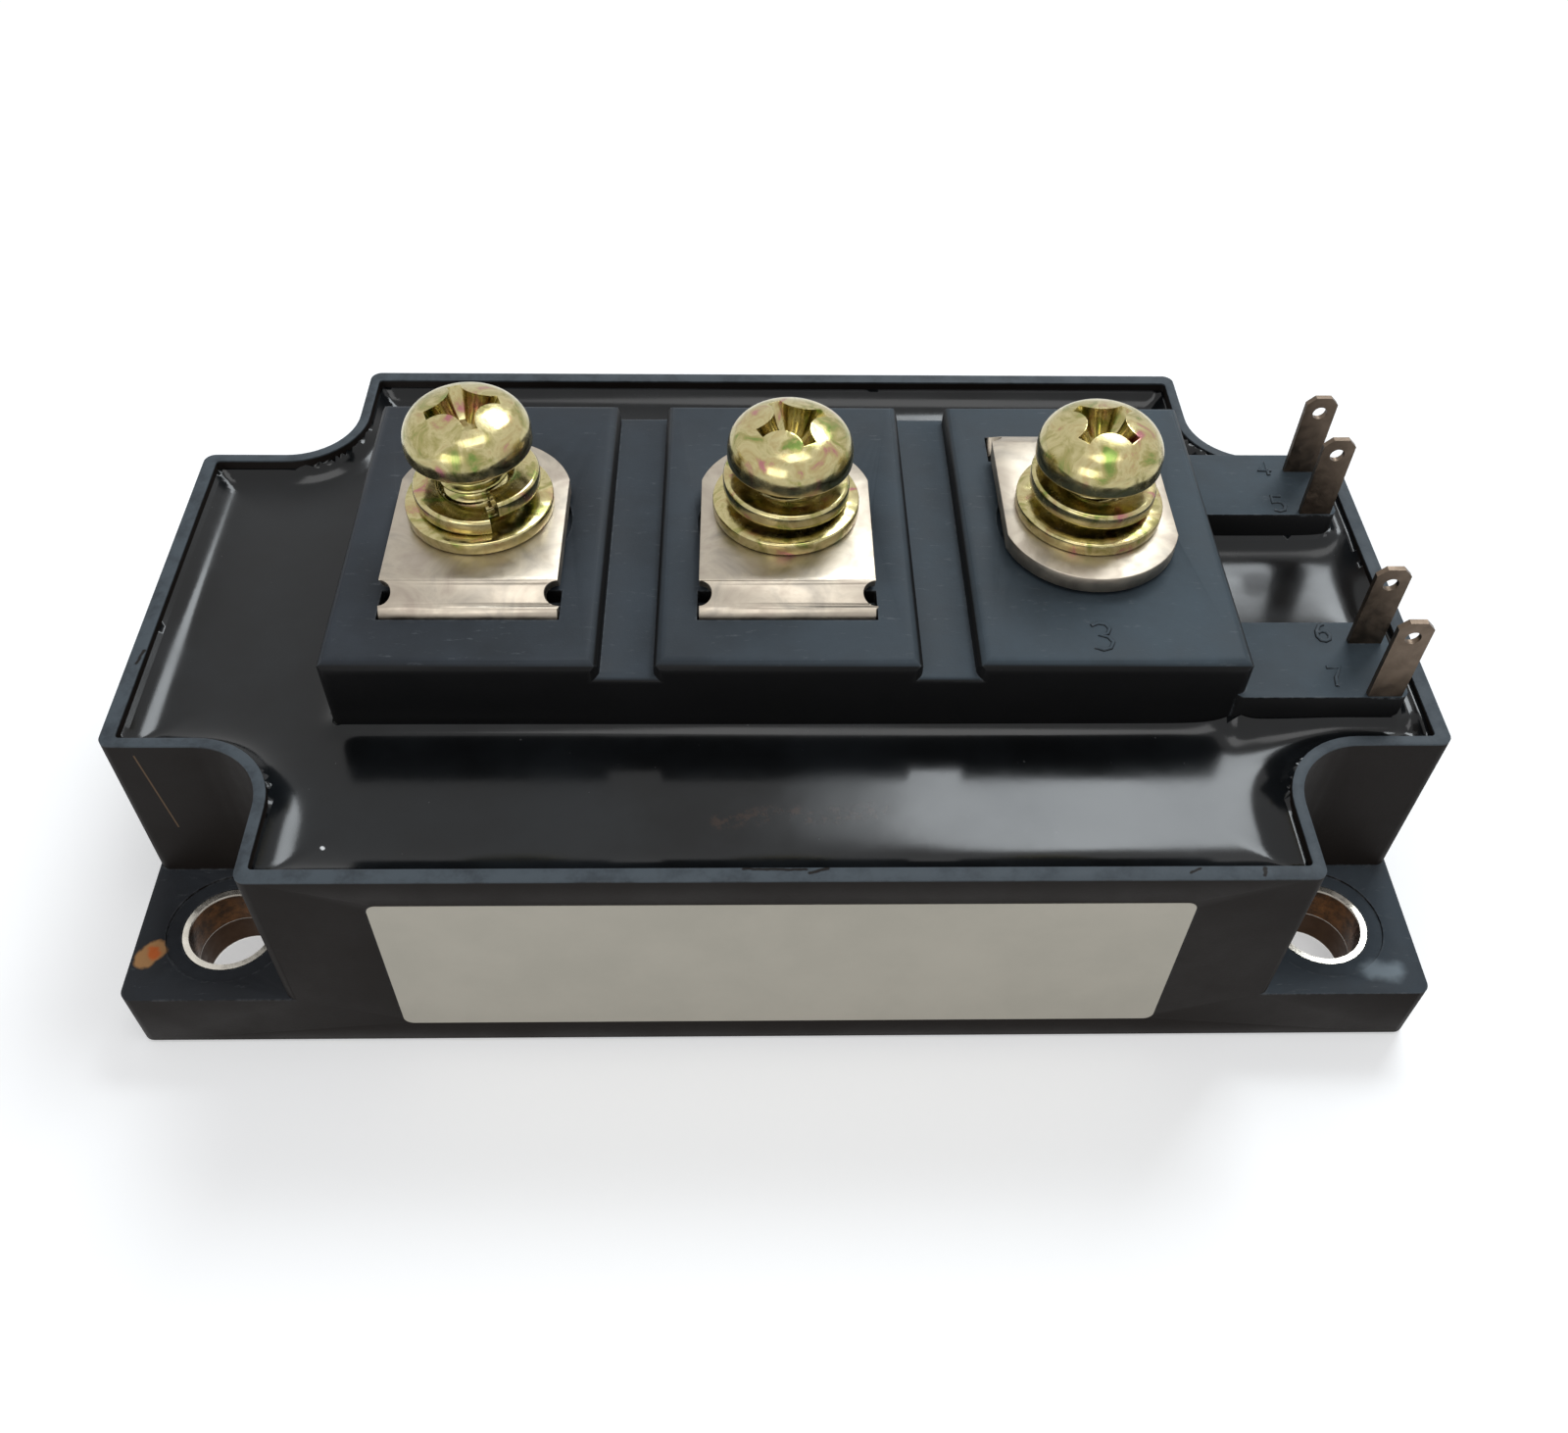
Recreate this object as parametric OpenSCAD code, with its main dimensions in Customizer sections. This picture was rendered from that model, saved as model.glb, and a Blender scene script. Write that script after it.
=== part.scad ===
// Dual IGBT power module with three M6 screw terminals and four 2.8 mm control tabs.
// Millimetres, +Z up, X along the module.
// The origin is the centre of the mounting face, on the underside of the base plate.

/* [Housing] */
// Length of the housing
case_l = 108; // [104:1:114]
// Width of the housing
case_w = 62; // [60:1:66]
// Height of the rim above the mounting face
case_h = 23.5; // [22:0.5:26]
// Height of the corner flanges above the mounting face
flange_h = 6.8; // [6:0.2:8]
// Thickness of the end and side walls
wall_t = 1.2; // [1:0.1:1.5]
// Thickness of the wall round each corner notch
notch_wall = 0.9; // [0.8:0.1:1.2]
// Radius of the housing's upright corners
corner_r = 1; // [0.6:0.1:1.4]
// Thickness of the skirt round the base plate
skirt_t = 1.6; // [1.2:0.1:2]

/* [Mounting holes] */
// From the ends of the housing to the hole centres
hole_inset_x = 7.5; // [7:0.25:8.5]
// From the sides of the housing to the hole centres
hole_inset_y = 7; // [6.5:0.25:7.5]
// Clear diameter of each mounting hole
hole_d = 7; // [6.6:0.1:7.4]
// Wall of the metal sleeve in each hole
sleeve_wall = 0.5; // [0.4:0.1:0.6]
// Radius of the corner notches about the hole centres
notch_r = 6; // [5.7:0.1:6.3]
// Diameter of the shallow spot face round each sleeve
spot_d = 10.6; // [10:0.1:11]
// Depth of that spot face
spot_depth = 0.2; // [0.1:0.05:0.3]
// Clearance between a sleeve and the flange
sleeve_gap = 0.05; // [0.02:0.01:0.1]

/* [Base plate] */
// Thickness of the copper base plate
base_t = 3; // [2.5:0.25:4]
// How far the plate stands out below the skirt
base_proud = 0.3; // [0.1:0.1:0.5]
// Clearance between the plate and the skirt
base_gap = 0.15; // [0.1:0.05:0.3]
// Corner radius of the plate
base_corner_r = 2; // [1:0.5:3]

/* [Potting] */
// Drop from the rim to the level of the cured resin
resin_drop = 2.5; // [2:0.1:3]
// Thickness of the resin layer
resin_t = 4.5; // [4.2:0.1:5]
// How far the resin climbs the walls
wall_climb = 1.9; // [1:0.1:2.2]
// Width of the sloping resin along the walls
wall_reach = 3.2; // [2:0.2:4]
// How far the resin climbs the terminal block
block_climb = 0.7; // [0.3:0.1:1.2]
// Width of the sloping resin along the block
block_reach = 1.5; // [0.8:0.1:2.2]
// How far the resin climbs the pads under the control tabs
pad_climb = 2.2; // [1:0.1:2.4]
// Width of the sloping resin along the pads
pad_reach = 2.4; // [1.6:0.1:2.4]
// Slope of the resin where it leaves the level, in degrees
resin_slope = 4; // [3:1:8]

/* [Terminal block] */
// Height of the block above the resin
block_rise = 7.6; // [7:0.2:8.4]
// Depth of the block below the resin level
block_sink = 3.5; // [3:0.1:3.8]
// From the outer terminals' edges to the ends of the block
block_end = 4.25; // [3.5:0.25:5]
// From the terminal legs to the long faces of the block
block_side = 5.2; // [4.6:0.1:5.8]
// Radius of the block's top edges
block_edge_r = 1.1; // [0.6:0.1:1.4]
// Radius of the block's upright corners
block_corner_r = 1; // [0.6:0.1:1.4]
// Width of the grooves between the terminals
groove_w = 4.3; // [3.6:0.1:5]
// Depth of those grooves
groove_depth = 1.7; // [1.2:0.1:2.2]
// Centre of the terminal row along the module
row_x = 0.5; // [-0.5:0.5:1]
// Centre of the terminal row across the module
row_y = 2.7; // [2:0.1:3]

/* [Main terminals] */
// Distance between the terminals
term_pitch = 25.8; // [25:0.2:26.4]
// Width of a terminal plate
term_w = 14.4; // [13.8:0.1:14.8]
// Thickness of the terminal strip
term_t = 1.5; // [1.2:0.1:1.6]
// Height of the plates above the block
plate_gap = 0.35; // [0.2:0.05:0.5]
// From the hole centre to the plate's rounded end
term_tail = 8.9; // [8.5:0.1:9.3]
// Radius of that rounded end
tail_r = 7.5; // [7.4:0.1:8]
// From the hole centre to the outer face of the leg
term_reach = 11.6; // [11.3:0.1:11.9]
// Outer radius of the bends
bend_r = 3.1; // [2.6:0.1:3.4]
// Radius of the relief notches at the ends of the upper bend
relief_r = 1.05; // [0.8:0.05:1.2]
// How far round the bend the relief notches lie, in degrees
relief_turn = 30; // [20:1:40]
// Clear hole for the screw
term_hole_d = 6.8; // [6.6:0.1:7.2]
// Width of the leg under the block
leg_w = 9; // [7:0.5:10]
// Length of the soldered foot
foot_l = 6; // [5:0.25:6.5]
// Clearance round the leg in its slot
slot_gap = 0.15; // [0.1:0.05:0.25]

/* [Nuts] */
// Width across the flats of the M6 nut
nut_af = 10; // [10:0.1:10.4]
// Height of the nut
nut_h = 5; // [4.6:0.1:5.2]
// Thread core diameter of the nut
nut_bore_d = 5.4; // [5.3:0.05:5.6]
// Clearance between the nut and its pocket
nut_gap = 0.15; // [0.1:0.05:0.3]
// Radius of the round well above the nut
well_r = 7.5; // [7.3:0.1:7.8]
// Depth of that well
well_depth = 0.6; // [0.4:0.1:1]
// Moulding left under the hole for the screw's tip
tip_floor = 0.8; // [0.5:0.1:1.2]
// Diameter of the hole under the nut
tip_hole_d = 6.8; // [6.4:0.1:7.2]

/* [Screws and washers] */
// Diameter of the pan head
head_d = 10.4; // [10:0.1:11]
// Height of the pan head
head_h = 4.1; // [3.7:0.1:4.4]
// Radius of the head's crown
crown_r = 9; // [8:0.5:12]
// Radius of the head's shoulder
shoulder_r = 2.6; // [2:0.1:2.8]
// Chamfer at the tip of the shank
tip_chamfer = 0.6; // [0.4:0.1:1]
// Length under the head
screw_l = 14; // [13:0.5:14.5]
// Core diameter of the threaded shank
shank_d = 5; // [4.8:0.05:5.1]
// Head height above the spring washer's upper end, left, middle and right
screw_lift = [2.4, 1, 1]; // [0.2:0.1:3]
// Lean of each loose screw towards the left end, in degrees
screw_lean = [0.5, -1.5, 0]; // [-3:0.5:3]
// Turn of each cross recess, in degrees
recess_turn = [20, 28, 45]; // [0:1:90]
// Width of the cross recess at the tips of its arms
recess_w = 1.2; // [1:0.1:1.5]
// Length across the cross recess
recess_l = 6.2; // [5.6:0.2:6.8]
// Centres of the round lobes between the arms, from the arms' middle lines
recess_lobe = 2.6; // [2.4:0.1:2.8]
// Depth of the cross recess
recess_depth = 2.4; // [2:0.1:2.8]
// Outer diameter of the flat washer
flat_d = 12.4; // [12:0.1:13]
// Thickness of the flat washer
flat_t = 1.2; // [1:0.1:1.4]
// Outer diameter of the spring washer
spring_d = 10.6; // [10.2:0.1:11]
// Thickness of the spring washer
spring_t = 1.5; // [1.3:0.1:1.6]
// Rise of the spring washer from one end to the other
spring_rise = 1.5; // [1:0.1:1.6]
// Direction of each spring washer's split, in degrees
split_turn = [-67, 78, 102]; // [-180:1:180]
// Bore of both washers
washer_bore_d = 6.3; // [6.2:0.1:6.6]

/* [Control tabs] */
// From the housing's end to the middle of the tabs
tab_inset = 5.15; // [4.6:0.05:5.4]
// From the outer tabs to the long sides of the case
tab_side_inset = 16.9; // [16.5:0.1:17.3]
// Distance between the two tabs of a pair
tab_pitch = 5.95; // [5.8:0.05:6.1]
// Width of a tab
tab_w = 2.8; // [2.6:0.1:3]
// Thickness of a tab
tab_t = 0.5; // [0.4:0.1:0.6]
// Height of the tabs above their pads
tab_rise = 8.35; // [7.5:0.25:9.5]
// Depth of the tabs in the pads
tab_root = 5; // [4:0.5:6]
// Chamfer at the tip of a tab
tab_chamfer = 0.7; // [0.5:0.1:0.9]
// Hole near the tip of a tab
tab_hole_d = 1.25; // [1:0.05:1.4]
// From the tip to the centre of that hole
tab_hole_drop = 1.6; // [1.4:0.1:2]
// Height of the pads above the resin
pad_rise = 4.2; // [3.6:0.2:5]
// Moulding past the tabs at the end of a pad
pad_end = 0.65; // [0.4:0.05:0.9]
// Moulding in front of the tabs' middle plane
pad_front = 0.35; // [0.3:0.05:0.5]
// Moulding behind the tabs' middle plane
pad_back = 2.2; // [1.6:0.1:2.6]
// Radius of the pads' upright corners
pad_corner_r = 0.8; // [0.5:0.1:1]

/* [Label] */
// Width of the label on the front wall
label_w = 62.8; // [50:1:70]
// Height of the label
label_h = 17.4; // [12:0.5:18]
// Bottom edge of the label above the mounting face
label_z = 3; // [2.5:0.25:4]
// Thickness of the label
label_t = 0.15; // [0.1:0.05:0.2]
// Depth of its seat in the wall
label_seat = 0.12; // [0.05:0.01:0.15]
// Corner radius of the label
label_r = 0.8; // [0.4:0.1:1.5]

/* [Power stage] */
// Length of each ceramic substrate
sub_l = 42; // [40:0.5:43]
// Width of each ceramic substrate
sub_w = 32.4; // [31.8:0.2:33]
// Space between the two substrates
sub_space = 2; // [1:0.5:2.5]
// Thickness of the solder under a substrate
solder_t = 0.2; // [0.1:0.05:0.3]
// Thickness of the copper foils
foil_t = 0.3; // [0.2:0.1:0.4]
// Thickness of the ceramic
ceramic_t = 0.6; // [0.4:0.1:1]
// Bare ceramic round the foils
foil_margin = 0.8; // [0.6:0.1:1]
// Width of the gate strip along each long edge
strip_w = 0.9; // [0.7:0.1:1]
// Space between neighbouring tracks
track_space = 0.4; // [0.3:0.1:0.5]
// Side of a square IGBT chip
igbt_a = 10; // [8:0.5:10]
// Width of a diode chip
diode_w = 6; // [5:0.5:6.5]
// Length of a diode chip
diode_l = 9; // [7:0.5:9.5]
// Thickness of the chips
chip_t = 0.4; // [0.3:0.05:0.5]
// Diameter of the bond wires
wire_d = 0.4; // [0.3:0.05:0.5]
// From the edge of an IGBT chip to its gate pad
gate_pad_inset = 1; // [0.6:0.1:1.4]
// Distance between the bond wires on a chip
wire_pitch = 1.9; // [1.6:0.1:2.2]
// Radius of the bond wire loops
loop_r = 3.6; // [3.2:0.1:3.8]
// Diameter of the leads from the control tabs
lead_d = 1; // [0.8:0.1:1.2]
// Height at which those leads cross the substrate
lead_rise = 3; // [2:0.5:6]

/* [Hidden] */
$fn = 72;
eps = 0.01;

// Heights above the mounting face
resin_z = case_h - resin_drop;
resin_bottom = resin_z - resin_t;
block_z = resin_z + block_rise;
block_bottom = resin_z - block_sink;
groove_z = block_z - groove_depth;
pad_z = resin_z + pad_rise;
plate_base_z = block_z + plate_gap;
plate_z = plate_base_z + term_t;
tab_tip_z = pad_z + tab_rise;
ceramic_z = base_t + solder_t + foil_t;
track_z = ceramic_z + ceramic_t;
track_top = track_z + foil_t;
chip_top = track_top + chip_t;

// Plan positions
hole_x = case_l / 2 - hole_inset_x;
hole_y = case_w / 2 - hole_inset_y;
block_l = 2 * term_pitch + term_w + 2 * block_end;
block_w = 2 * (term_reach + block_side);
block_x1 = row_x + block_l / 2;
tab_x = case_l / 2 - tab_inset;
pad_x0 = block_x1 - block_corner_r;
pad_x1 = tab_x + tab_w / 2 + pad_end;
sub_x = (sub_space + sub_l) / 2;
term_x = [for (i = [-1:1]) row_x + i * term_pitch];
// The third terminal is turned end for end, so that its leg is at the back
term_turn = [0, 0, 180];
climb_back = 0.5;
tab_y_outer = case_w / 2 - tab_side_inset;
tab_y_inner = tab_y_outer - tab_pitch;
tab_y = [-tab_y_outer, -tab_y_inner, tab_y_inner, tab_y_outer];
// Front tab of each pair, which places its pad
pad_tab_y = [-tab_y_outer, tab_y_inner];
pad_w = pad_front + tab_y_outer - tab_y_inner + pad_back;

// Nuts and what is under them
nut_z = block_z - nut_gap - nut_h;
bend_centre_z = term_t - bend_r;

// Chips along a substrate, and the loops that leave them
igbt_x = [-13, -2.4];
diode_x = [6.2, 12.9];
chip_y = 7.6;
loop_y = 2.4;
wire_rows = [-1, 0, 1];
strip_y = sub_w / 2 - foil_margin - strip_w / 2;

black_plastic = "#1d1f22";
block_plastic = "#2b3036";
nickel = "#b9b0a0";
copper = "#b87333";
zinc_gold = "#c9b878";
bronze = "#4a3b2c";
steel = "#c8c8c4";

// ---- Outlines ----

module rounded_rect(l, w, r) {
    difference() {
        square([l, w], center = true);
        for (sx = [-1, 1], sy = [-1, 1])
            translate([sx * l / 2, sy * w / 2]) corner_waste(sx, sy, r);
    }
}

// What is left outside an arc of radius r that rounds a corner pointing to (sx, sy)
module corner_waste(sx, sy, r) {
    difference() {
        translate([sx > 0 ? -r : -eps, sy > 0 ? -r : -eps]) square(r + eps);
        translate([-sx * r, -sy * r]) circle(r);
    }
}

// Plan of the walls: a rectangle less the four notches over the mounting holes.
// The end and side walls step in by wall, the notch walls by notch.
module wall_outline(wall = 0, notch = 0, r = corner_r) {
    half_l = case_l / 2 - wall;
    half_w = case_w / 2 - wall;
    arm_x = hole_x - notch_r - notch;
    arm_y = hole_y - notch_r - notch;
    difference() {
        square([2 * half_l, 2 * half_w], center = true);
        for (sx = [-1, 1], sy = [-1, 1]) {
            mirror([sx < 0 ? 1 : 0, 0]) mirror([0, sy < 0 ? 1 : 0]) {
                translate([hole_x, arm_y]) square([case_l, case_w]);
                translate([arm_x, hole_y]) square([case_l, case_w]);
                translate([hole_x, hole_y]) circle(notch_r + notch);
                translate([half_l, arm_y]) corner_waste(1, 1, r);
                translate([arm_x, half_w]) corner_waste(1, 1, r);
            }
        }
    }
}

module cavity_outline() {
    wall_outline(wall_t, notch_wall, max(0.2, corner_r - wall_t / 2));
}

module at_holes() {
    for (sx = [-1, 1], sy = [-1, 1]) translate([sx * hole_x, sy * hole_y, 0]) children();
}

// ---- Housing ----

module case() {
    color(black_plastic) difference() {
        union() {
            translate([0, 0, base_proud])
                linear_extrude(flange_h - base_proud) rounded_rect(case_l, case_w, corner_r);
            translate([0, 0, base_t + 1])
                linear_extrude(case_h - base_t - 1) wall_outline();
        }
        translate([0, 0, base_t]) linear_extrude(case_h) cavity_outline();
        linear_extrude(base_t)
            rounded_rect(case_l - 2 * skirt_t, case_w - 2 * skirt_t, base_corner_r);
        at_holes() {
            cylinder(d = hole_d + 2 * sleeve_wall + 2 * sleeve_gap, h = flange_h + eps);
            translate([0, 0, flange_h - spot_depth]) cylinder(d = spot_d, h = case_h);
        }
        label_body(label_seat, 1);
    }
}

module base_plate() {
    color(nickel) difference() {
        linear_extrude(base_t) rounded_rect(case_l - 2 * skirt_t - 2 * base_gap,
            case_w - 2 * skirt_t - 2 * base_gap, base_corner_r);
        at_holes() translate([0, 0, -1]) cylinder(d = hole_d, h = base_t + 2);
    }
}

module mount_sleeve(sx, sy) {
    color(steel) translate([sx * hole_x, sy * hole_y, base_t]) difference() {
        cylinder(d = hole_d + 2 * sleeve_wall, h = flange_h - spot_depth - base_t);
        translate([0, 0, -1]) cylinder(d = hole_d, h = flange_h);
    }
}

// The label's plate: seat is how deep it goes into the wall, stand how far it comes out
module label_body(seat, stand) {
    translate([0, -case_w / 2 + seat, label_z + label_h / 2]) rotate([90, 0, 0])
        linear_extrude(seat + stand) rounded_rect(label_w, label_h, label_r);
}

module label() {
    color("#b6b1a3") label_body(label_seat, label_t - label_seat);
}

// ---- Potting ----

// Outer form of the moulding where it stands in the resin
module block_footprint() {
    translate([row_x, row_y]) rounded_rect(block_l, block_w, block_corner_r);
    for (y = pad_tab_y) pad_outline(y);
}

// Section of the resin that climbs a wall at x = 0: one hollow arc down to the level.
// It starts climb_back inside the wall, where the cavity or the block cuts it off.
module climb_profile(reach, climb) {
    chord = norm([reach, climb]);
    radius = chord / 2 / sin(atan2(climb, reach) - resin_slope);
    rise = sqrt(radius * radius - chord * chord / 4);
    difference() {
        translate([-climb_back, -block_sink])
            square([reach + climb_back, climb + climb_back + block_sink]);
        translate([reach / 2 + climb / chord * rise, climb / 2 + reach / chord * rise])
            circle(radius);
    }
}

// Climbing resin along a straight wall from p to q, on the left side of that way
module straight_climb(p, q, reach, climb) {
    along = q - p;
    translate([p[0], p[1], resin_z]) rotate(atan2(along[1], along[0]))
        rotate([90, 0, 90]) linear_extrude(norm(along)) climb_profile(reach, climb);
}

module round_climb(centre, radius, start, reach, climb) {
    translate([centre[0], centre[1], resin_z]) rotate(start) rotate_extrude(angle = 90)
        translate([radius, 0]) climb_profile(reach, climb);
}

// Resin that climbs the walls of the cavity
module wall_climbs() {
    end_x = case_l / 2 - wall_t;
    side_y = case_w / 2 - wall_t;
    r = notch_r + notch_wall;
    for (sx = [0, 1], sy = [0, 1]) mirror([sx, 0, 0]) mirror([0, sy, 0]) {
        straight_climb([end_x, 0], [end_x, hole_y - r], wall_reach, wall_climb);
        straight_climb([end_x, hole_y - r], [hole_x, hole_y - r], wall_reach, wall_climb);
        round_climb([hole_x, hole_y], r, 180, wall_reach, wall_climb);
        straight_climb([hole_x - r, hole_y], [hole_x - r, side_y], wall_reach, wall_climb);
        straight_climb([hole_x - r, side_y], [0, side_y], wall_reach, wall_climb);
    }
}

// Resin that climbs a rounded rectangle from outside
module rim_climb(x0, x1, y0, y1, r, reach, climb) {
    straight_climb([x1 - r, y0], [x0 + r, y0], reach, climb);
    straight_climb([x0, y0 + r], [x0, y1 - r], reach, climb);
    straight_climb([x0 + r, y1], [x1 - r, y1], reach, climb);
    straight_climb([x1, y1 - r], [x1, y0 + r], reach, climb);
    round_climb([x1 - r, y1 - r], r, 0, reach, climb);
    round_climb([x0 + r, y1 - r], r, 90, reach, climb);
    round_climb([x0 + r, y0 + r], r, 180, reach, climb);
    round_climb([x1 - r, y0 + r], r, 270, reach, climb);
}

module block_climbs() {
    block_y0 = row_y - block_w / 2;
    rim_climb(row_x - block_l / 2, block_x1, block_y0, block_y0 + block_w, block_corner_r,
        block_reach, block_climb);
    for (y = pad_tab_y)
        rim_climb(pad_x0, pad_x1, y - pad_front, y - pad_front + pad_w, pad_corner_r,
            pad_reach, pad_climb);
}

module epoxy_resin() {
    color("#0d0e10") difference() {
        intersection() {
            translate([0, 0, resin_bottom]) linear_extrude(resin_t + 2 * wall_climb)
                cavity_outline();
            union() {
                translate([0, 0, resin_bottom - 1]) linear_extrude(resin_t + 1)
                    square([case_l, case_w], center = true);
                wall_climbs();
                block_climbs();
            }
        }
        translate([0, 0, block_bottom]) linear_extrude(block_sink + wall_climb + 1)
            block_footprint();
        at_terminals() leg_passage();
        control_leads();
    }
}

module silicone_gel() {
    color([0.8, 0.85, 0.9, 0.4]) difference() {
        translate([0, 0, base_t]) linear_extrude(resin_bottom - base_t) cavity_outline();
        for (side = [-1, 1]) {
            translate([side * sub_x, 0, base_t - 1]) linear_extrude(1 + solder_t + foil_t)
                square([sub_l - 2 * foil_margin, sub_w - 2 * foil_margin], center = true);
            ceramic(side);
            copper_tracks(side);
        }
        igbt_chips();
        diode_chips();
        bond_wires();
        gate_jumpers();
        for (i = [0:2]) terminal_strip(i);
        control_leads();
    }
}

// ---- Terminal block ----

module pad_outline(front_tab_y) {
    translate([(pad_x0 + pad_x1) / 2, front_tab_y - pad_front + pad_w / 2])
        rounded_rect(pad_x1 - pad_x0, pad_w, pad_corner_r);
}

// A slab with rounded upright corners and rounded top edges, from z = 0 up to h
module domed_slab(l, w, h, corner, edge) {
    intersection() {
        linear_extrude(h) rounded_rect(l, w, corner);
        rotate([90, 0, 0]) linear_extrude(w + 2, center = true) edge_profile(l, h, edge);
        rotate([90, 0, 90]) linear_extrude(l + 2, center = true) edge_profile(w, h, edge);
    }
}

module edge_profile(l, h, r) {
    difference() {
        translate([-l / 2, 0]) square([l, h]);
        for (side = [-1, 1]) translate([side * l / 2, h]) corner_waste(side, 1, r);
    }
}

module terminal_block() {
    outer_l = term_pitch / 2 - groove_w / 2 + term_w / 2 + block_end;
    inner_l = term_pitch - groove_w;
    outer_x = block_l / 2 - outer_l / 2;
    color(block_plastic) difference() {
        union() {
            translate([row_x, row_y, block_bottom]) {
                domed_slab(block_l, block_w, groove_z - block_bottom, block_corner_r, 0.5);
                for (side = [-1, 1]) translate([side * outer_x, 0, 0])
                    domed_slab(outer_l, block_w, block_z - block_bottom, block_corner_r,
                        block_edge_r);
                domed_slab(inner_l, block_w, block_z - block_bottom, block_corner_r,
                    block_edge_r);
            }
            for (y = pad_tab_y) translate([0, 0, block_bottom])
                linear_extrude(pad_z - block_bottom) pad_outline(y);
        }
        at_terminals() {
            leg_slot();
            nut_well();
        }
        for (i = [0:3]) translate([tab_x, tab_y[i], 0]) tab_body();
        control_leads();
    }
}

// Children stand at the hole of each terminal, on the face of the block
module at_terminals() {
    for (i = [0:2]) translate([term_x[i], row_y, block_z]) rotate(term_turn[i]) children();
}

module leg_slot() {
    front = -term_reach - slot_gap;
    wide = term_w + 2 * slot_gap;
    translate([-wide / 2, front, block_bottom - block_z - 1])
        cube([wide, term_t + 2 * slot_gap, block_z - block_bottom + 2]);
    translate([-wide / 2, front, plate_gap + bend_centre_z - slot_gap])
        cube([wide, bend_r + 2 * slot_gap, block_rise]);
}

module nut_well() {
    translate([0, 0, -well_depth]) cylinder(r = well_r, h = well_depth + 1);
    translate([0, 0, nut_z - block_z])
        cylinder(d = (nut_af + 2 * nut_gap) / cos(30), h = nut_h + 1, $fn = 6);
    translate([0, 0, block_bottom - block_z + tip_floor])
        cylinder(d = tip_hole_d, h = block_z - block_bottom);
}

// ---- Main terminals ----

// Side view of the bent strip, seen along X: plate, bend, leg, bend and foot
module strip_profile() {
    r_in = bend_r - term_t;
    plate_y0 = -(term_reach - bend_r);
    foot_z = track_top - plate_base_z;
    leg_top = bend_centre_z;
    leg_foot = foot_z + bend_r;
    translate([plate_y0, 0]) square([term_tail - plate_y0, term_t]);
    translate([plate_y0, leg_top]) quarter_ring(r_in, bend_r, [-1, 0]);
    translate([-term_reach, leg_foot]) square([term_t, leg_top - leg_foot]);
    translate([-term_reach + bend_r, leg_foot]) quarter_ring(r_in, bend_r, [-1, -1]);
    translate([-term_reach + bend_r, foot_z]) square([foot_l - bend_r, term_t]);
}

module quarter_ring(r_in, r_out, corner) {
    intersection() {
        difference() {
            circle(r_out);
            circle(r_in);
        }
        translate(corner * r_out) square(r_out);
    }
}

// What is cut off the plate to leave its rounded end
module tail_waste() {
    difference() {
        translate([-term_w, 0]) square([2 * term_w, 2 * tail_r]);
        circle(tail_r);
    }
}

module strip() {
    bend_y = -(term_reach - bend_r);
    leg_side = (term_w - leg_w) / 2;
    leg_cut_z = block_bottom - plate_base_z;
    leg_end_z = track_top - plate_base_z;
    difference() {
        rotate([90, 0, 90]) linear_extrude(term_w, center = true) strip_profile();
        translate([0, 0, -1]) cylinder(d = term_hole_d, h = term_t + 2);
        translate([0, term_tail - tail_r, -1]) linear_extrude(term_t + 2) tail_waste();
        for (side = [-1, 1]) {
            translate([side * term_w / 2, bend_y, bend_centre_z]) rotate([relief_turn, 0, 0])
                cylinder(r = relief_r, h = bend_r + 1);
            translate([side * (leg_w + leg_side + 1) / 2, -term_reach + foot_l / 2, 0])
                translate([-(leg_side + 1) / 2, -foot_l / 2 - 1, leg_end_z - 1])
                    cube([leg_side + 1, foot_l + 2, leg_cut_z - leg_end_z + 1]);
        }
    }
}

// Way of a leg through the resin under the block
module leg_passage() {
    translate([-leg_w / 2, -term_reach, resin_bottom - block_z - 1])
        cube([leg_w, term_t, block_bottom - resin_bottom + 2]);
}

module terminal_strip(i) {
    translate([term_x[i], row_y, plate_base_z]) rotate(term_turn[i]) strip();
}

module main_terminal(i) {
    color(nickel) terminal_strip(i);
}

// ---- Nuts, washers and screws ----

module terminal_nuts() {
    color(steel) for (x = term_x) translate([x, row_y, nut_z]) difference() {
        cylinder(d = nut_af / cos(30), h = nut_h, $fn = 6);
        translate([0, 0, -1]) cylinder(d = nut_bore_d, h = nut_h + 2);
    }
}

module flat_washers() {
    color(zinc_gold) for (x = term_x) translate([x, row_y, plate_z]) difference() {
        cylinder(d = flat_d, h = flat_t);
        translate([0, 0, -1]) cylinder(d = washer_bore_d, h = flat_t + 2);
    }
}

// Split ring that climbs by spring_rise as it goes round clockwise from its split
module split_ring(split) {
    steps = 40;
    split_gap = 9;
    section = [[washer_bore_d / 2, 0], [spring_d / 2, 0],
        [spring_d / 2, spring_t], [washer_bore_d / 2, spring_t]];
    points = [for (i = [0:steps], p = section)
        let (a = split - split_gap / 2 - i * (360 - split_gap) / steps)
        [p[0] * cos(a), p[0] * sin(a), p[1] + spring_rise * i / steps]];
    sides = [for (i = [0:steps - 1], k = [0:3])
        [4 * i + k, 4 * i + 4 + k, 4 * i + 4 + (k + 1) % 4, 4 * i + (k + 1) % 4]];
    polyhedron(points, concat([[0, 1, 2, 3]], sides,
        [[for (k = [3:-1:0]) 4 * steps + k]]));
}

module spring_washers() {
    color(zinc_gold) for (i = [0:2])
        translate([term_x[i], row_y, plate_z + flat_t]) split_ring(split_turn[i]);
}

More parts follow.
